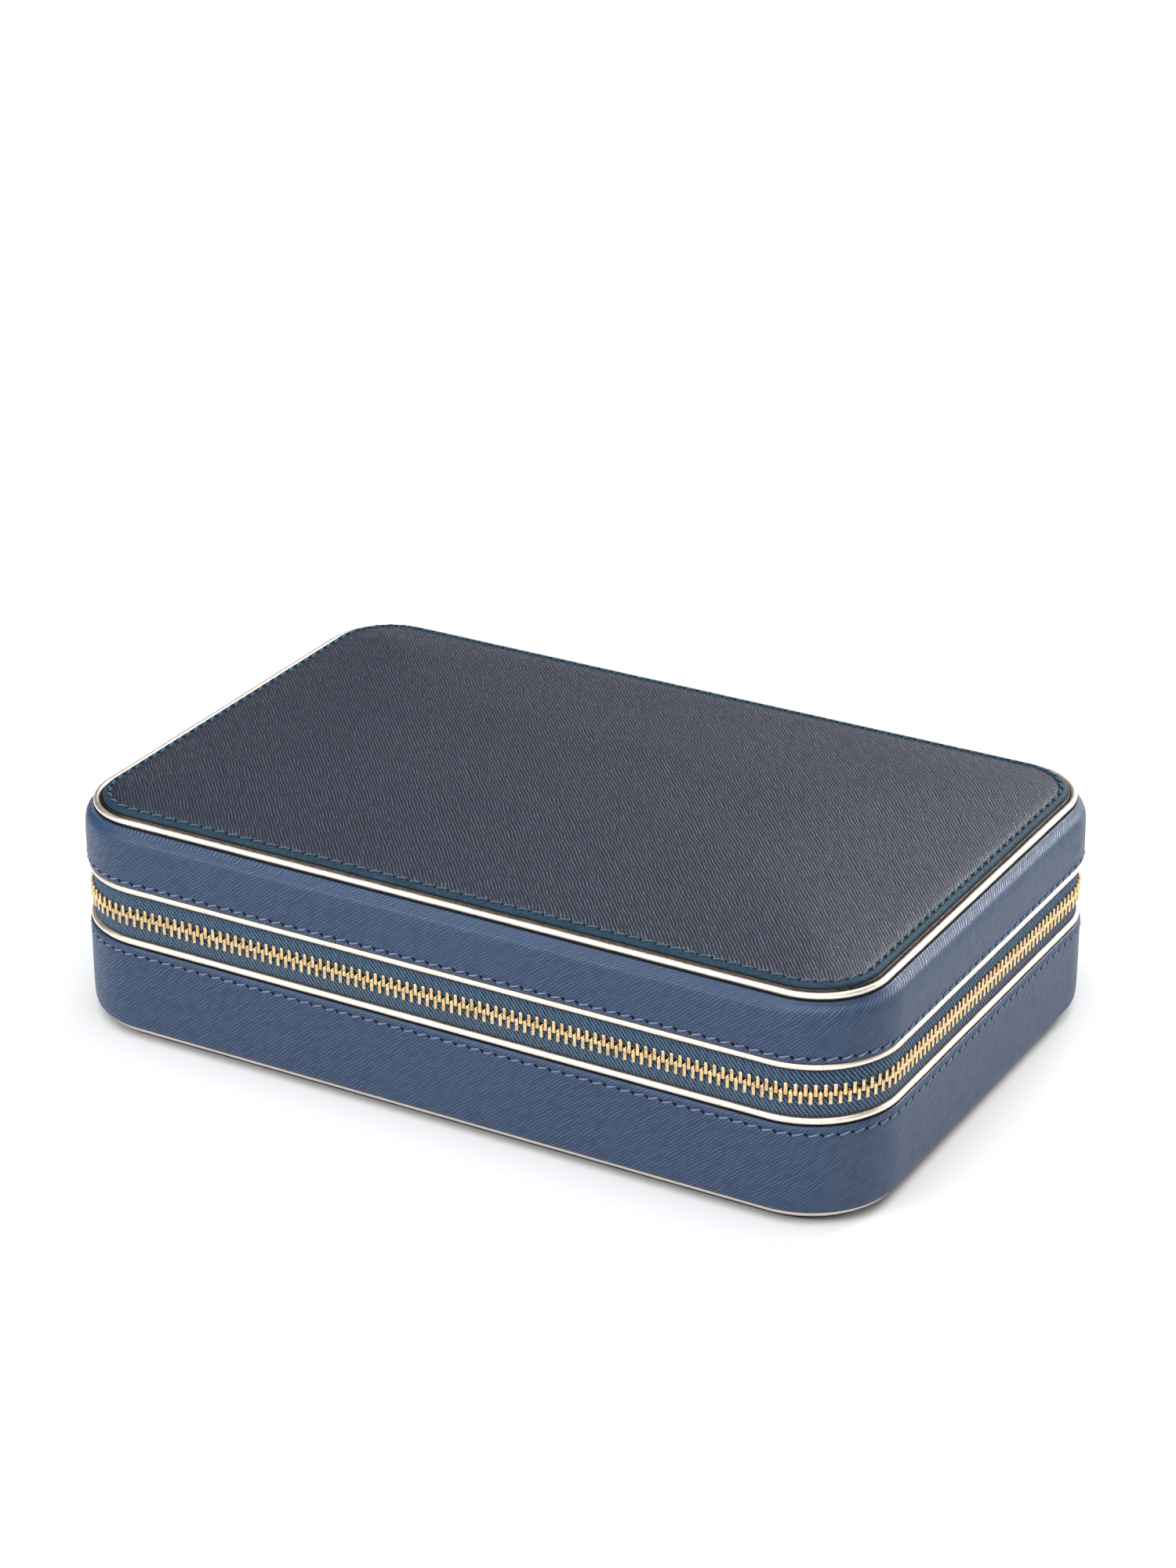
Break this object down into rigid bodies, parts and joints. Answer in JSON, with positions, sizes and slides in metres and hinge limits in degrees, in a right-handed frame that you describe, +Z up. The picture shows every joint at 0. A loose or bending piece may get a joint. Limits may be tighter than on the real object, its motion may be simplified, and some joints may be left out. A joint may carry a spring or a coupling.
{
  "type": "zip-round jewellery case",
  "caption": "Rounded rectangular zip-round leather case with padded top, contrast piping and a hinged mirrored lid, with padded compartments inside for jewellery.",
  "frame": {"origin": "middle of the underside, at the resting face", "axes": "+Z up, +X to the right along the long side, -Y towards the front, hinge at +Y"},
  "size_m": [0.2556, 0.1646, 0.0706],
  "materials": {
    "leather_side": "cross-grain blue leather, satin",
    "leather_top": "cross-grain dark navy leather, satin",
    "leather_trim": "smooth dark teal leather",
    "piping": "pale champagne metallic leather cord",
    "zip_tape": "herringbone woven tape",
    "zip_metal": "polished brass, light brushing",
    "suede": "short-pile suede cloth",
    "board": "uncoated greyboard",
    "foam": "soft foam sheet",
    "mirror": "silvered glass"
  },
  "bodies": {
    "base": {"base_panel": "leather_trim", "base_bottom_piping": "piping", "base_band": "leather_side", "base_board": "board", "base_lining": "suede", "base_floor_pad": "suede", "base_collar": "suede", "base_rim_piping": "piping", "zip_tape_lower": "zip_tape", "zip_teeth_lower": "zip_metal", "zip_stops_lower": "zip_metal", "spine_lower": "leather_side", "divider_long": "suede", "divider_rear_left": "suede", "divider_rear_right": "suede", "divider_front_left": "suede", "divider_front_right": "suede", "ring_roll_1": "suede", "ring_roll_2": "suede", "ring_roll_3": "suede", "ring_roll_4": "suede", "ring_roll_5": "suede", "ring_roll_6": "suede"},
    "lid": {"lid_rim_piping": "piping", "lid_top_piping": "piping", "lid_band": "leather_side", "lid_board": "board", "lid_lining": "suede", "lid_foam": "foam", "lid_top_panel": "leather_top", "lid_mirror": "mirror", "lid_mirror_frame": "suede", "zip_tape_upper": "zip_tape", "zip_teeth_upper": "zip_metal", "zip_stops_upper": "zip_metal", "spine_upper": "leather_side"},
    "slider": {"zip_slider": "zip_metal"},
    "pull_link": {"zip_pull_link": "zip_metal"},
    "pull_tab": {"zip_pull_tab": "zip_metal"}
  },
  "joints": [
    {"name": "lid_hinge", "type": "hinge", "parent": "base", "child": "lid", "pos_m": [0, 0.08085, 0.0386], "axis": [-1, 0, 0], "range_deg": [0, 105]},
    {"name": "slider_slide", "type": "slide", "parent": "base", "child": "slider", "axis": [0, -1, 0], "range_m": [0, 0.098], "deforming": ["zip_teeth_lower", "zip_teeth_upper"]},
    {"name": "pull_link_swing", "type": "hinge", "parent": "slider", "child": "pull_link", "pos_m": [-0.12865, 0.047, 0.0386], "axis": [0, 1, 0], "range_deg": [0, 170]},
    {"name": "pull_tab_sway", "type": "hinge", "parent": "pull_link", "child": "pull_tab", "pos_m": [-0.12865, 0.047, 0.0309], "axis": [1, 0, 0], "range_deg": [-75, 75]}
  ]
}
